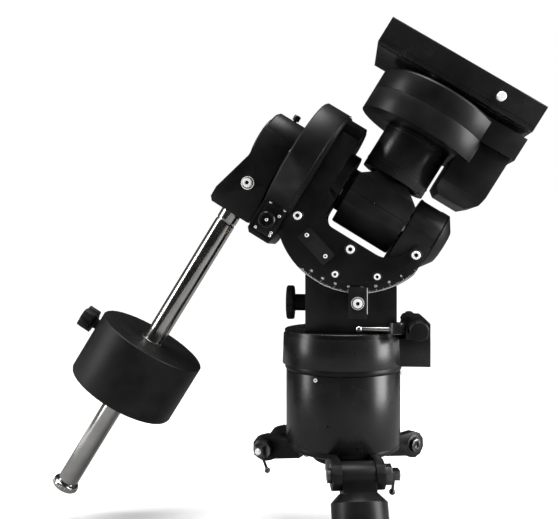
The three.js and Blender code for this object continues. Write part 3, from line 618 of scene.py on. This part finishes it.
# ------------------------------------------------------------ counterweight
def counterweight_details():
    """Painted shade in and under the head's clamp bolt, the end cap's knurl, and the ring where the bar
    enters the weight.
    """
    bolt_shades("head_clamp_bolt", "ra_unit", on_side(POLAR, -156, -61, -CLAMP_BOLT), 1.52, 5.1)
    bar = POLAR @ shift(BAR_X, 0, 0)
    ridges = 40
    bm = bmesh.new()
    for i in range(ridges):
        turned = bar @ Matrix.Rotation(TURN * i / ridges, 4, "Z")
        prism_into(bm, [(17.4, -0.5), (18.0, 0), (17.4, 0.5)], -544, -539, turned)
    finish_piece("end_cap_knurl", mesh_from("knurl", bm), STEEL, "ra_unit")
    loop = [(14.6, -308.4), (18.5, -308.4), (18.5, -307.4), (17.9, -307.0), (14.6, -307.0)]
    ring_piece("weight_bore_ring", loop, DARK_STEEL, "sliding_weight", bar, 48)


# ------------------------------------------------------------ pier, azimuth and hub
def pier_details():
    """Screws round the pier, the latitude pointer's bright edge, painted shade in and under the pointer's
    bolt, and the lock lever's sleeve.
    """
    screws("pier_screws_upper", [outward(a, 114) for a in (-116, -4, 124)], 2.4, 1.5, "base")
    screws("pier_screw_lower", [outward(-104, 58.7)], 1.4, 0.6, "base", material=HOLE)
    screws("pier_screws_bottom", [outward(a, 33) for a in (-75, 45, 165)], 1.6, 0.6, "base", material=HOLE)
    strip = [(30.1, 195), (30.7, 195), (30.7, 227), (30.1, 227)]
    prism("pointer_edge", strip, 0.2, 5.2, ZINC, "azimuth_head", on_side(WORLD, 0, 0, -POINTER_FACE))
    bolt_shades("pointer_bolt", "azimuth_head", on_side(WORLD, 18.5, 208, -POINTER_BOLT), 1.42, 3.8)
    sleeve = [(8.2, 0.2), (9.6, 0.2), (9.6, 11), (8.8, 13.4), (6.3, 13.6), (8.2, 11)]
    ring_piece("lever_hub_sleeve", sleeve, SATIN, "azimuth_lock", shift(*LEVER_FOOT), 32)


def hub_details():
    """At each leg hinge a boss on one face of the lug and the bolt's end on the other; the hub's screws."""
    boss = [(9.6, 0), (13.2, 0), (13.2, 0.3), (12.6, 0.45), (9.6, 0.45)]
    end = [(0, 19.0), (4.2, 19.0), (4.2, 20.6), (3.4, 21.4), (0, 21.4)]
    for name, azimuth in (("front", -80), ("right", 40), ("left", 160)):
        hinge = turn(azimuth, "Z") @ shift(HINGE_RADIUS, 0, HINGE_HEIGHT)
        place = on_side(hinge, 0, 0, -LUG_FACE)
        ring_piece(f"lug_boss_{name}_a", boss, SATIN, "base", place, 36)
        place = on_side(hinge, 0, 0, LUG_FACE)
        revolved(f"leg_bolt_end_{name}", end, ZINC, f"leg_clamp_{name}", place, 24)
    upside_down = Matrix.Rotation(math.pi, 4, "X")
    spot = shift(HUB_SCREW_RADIUS, 0, HUB_UNDERSIDE)
    places = [turn(azimuth, "Z") @ spot @ upside_down for azimuth in (-20, 100, 220)]
    screws("hub_screws", places, 3.2, 2.4, "base", material=STEEL)


# ------------------------------------------------------------ stage, lights and camera
def staged(name, mesh, level, rough):
    """Adds a matte grey thing that isn't part of the mount."""
    obj = bpy.data.objects.new(name, mesh)
    bpy.context.scene.collection.objects.link(obj)
    material, shader = new_material(name)
    shader.inputs["Base Color"].default_value = (*grey(level), 1)
    shader.inputs["Roughness"].default_value = rough
    obj.data.materials.append(material)
    return obj


def stage():
    """Pale floor, and a white room that lights the object less than the camera sees it."""
    bm = bmesh.new()
    bmesh.ops.create_grid(bm, x_segments=4, y_segments=4, size=FLOOR_SIZE)
    mesh = mesh_from("floor", bm)
    mesh.transform(Matrix.Translation((0, 0, cad_bounds[0][2] - FLOOR_GAP)))
    staged("floor", mesh, 0.96, 0.9)
    world = bpy.data.worlds.new("studio")
    bpy.context.scene.world = world
    world.use_nodes = True
    nodes, links = world.node_tree.nodes, world.node_tree.links
    background = nodes["Background"]
    background.inputs["Color"].default_value = (1, 1, 1, 1)
    paths = nodes.new("ShaderNodeLightPath")
    level = nodes.new("ShaderNodeMapRange")
    level.inputs["To Min"].default_value = ROOM_LIGHT
    level.inputs["To Max"].default_value = 1.0
    links.new(paths.outputs["Is Camera Ray"], level.inputs["Value"])
    links.new(level.outputs["Result"], background.inputs["Strength"])


def reflection_card(name, bm, level):
    """A card that only reflections see."""
    card = staged(name, mesh_from(name, bm), level, 1.0)
    card.visible_camera = False
    card.visible_shadow = False
    card.visible_diffuse = False


def cards():
    """Dark cards in front and behind and a grey one below, that deepen the black and shape the steel."""
    bottom, top = -0.05, 1.7
    bm = bmesh.new()
    for start in (-150, 30):
        angles = [math.radians(a) for a in range(start, start + 121, 12)]
        feet = [(CARD_RADIUS * math.cos(a), CARD_RADIUS * math.sin(a)) for a in angles]
        for (x0, y0), (x1, y1) in zip(feet, feet[1:]):
            corners = ((x0, y0, bottom), (x1, y1, bottom), (x1, y1, top), (x0, y0, top))
            bm.faces.new([bm.verts.new(p) for p in corners])
    reflection_card("cards", bm, 0.01)
    low = cad_bounds[0][2] + FLOOR_CARD_LIFT
    bm = bmesh.new()
    signs = ((-1, -1), (1, -1), (1, 1), (-1, 1))
    bm.faces.new([bm.verts.new((x * CARD_RADIUS, y * CARD_RADIUS, low)) for x, y in signs])
    reflection_card("floor_card", bm, 0.2)


def area_light(name, location, size, power):
    data = bpy.data.lights.new(name, "AREA")
    data.shape = "RECTANGLE"
    data.size, data.size_y = size
    data.energy = power
    light = bpy.data.objects.new(name, data)
    bpy.context.scene.collection.objects.link(light)
    light.location = location
    light.rotation_euler = (Vector(LIGHT_TARGET) - Vector(location)).to_track_quat("-Z", "Y").to_euler()


def lights():
    area_light("key_left", (-1.3, -0.35, 0.8), (0.35, 1.6), 17)
    area_light("fill_right", (1.3, -0.25, 0.6), (0.6, 1.5), 40)
    area_light("top", (0.0, 0.1, 1.7), (0.9, 0.7), 8)
    sun = bpy.data.lights.new("overhead", "SUN")
    sun.energy = SUN_STRENGTH
    sun.angle = math.radians(50)
    bpy.context.scene.collection.objects.link(bpy.data.objects.new("overhead", sun))


def camera():
    data = bpy.data.cameras.new("camera")
    data.lens = 46
    data.sensor_width = 36
    data.shift_y = -0.017
    cam = bpy.data.objects.new("camera", data)
    bpy.context.scene.collection.objects.link(cam)
    cam.location = Vector(CAMERA_PLACE) * MM
    cam.rotation_euler = (math.radians(90), 0, math.radians(CAMERA_TURN))
    bpy.context.scene.camera = cam


dress_cad()
yoke_screws()
latitude_scale()
ra_details()
declination_details()
counterweight_details()
pier_details()
hub_details()
stage()
cards()
lights()
camera()
bpy.context.scene.view_settings.view_transform = "Standard"
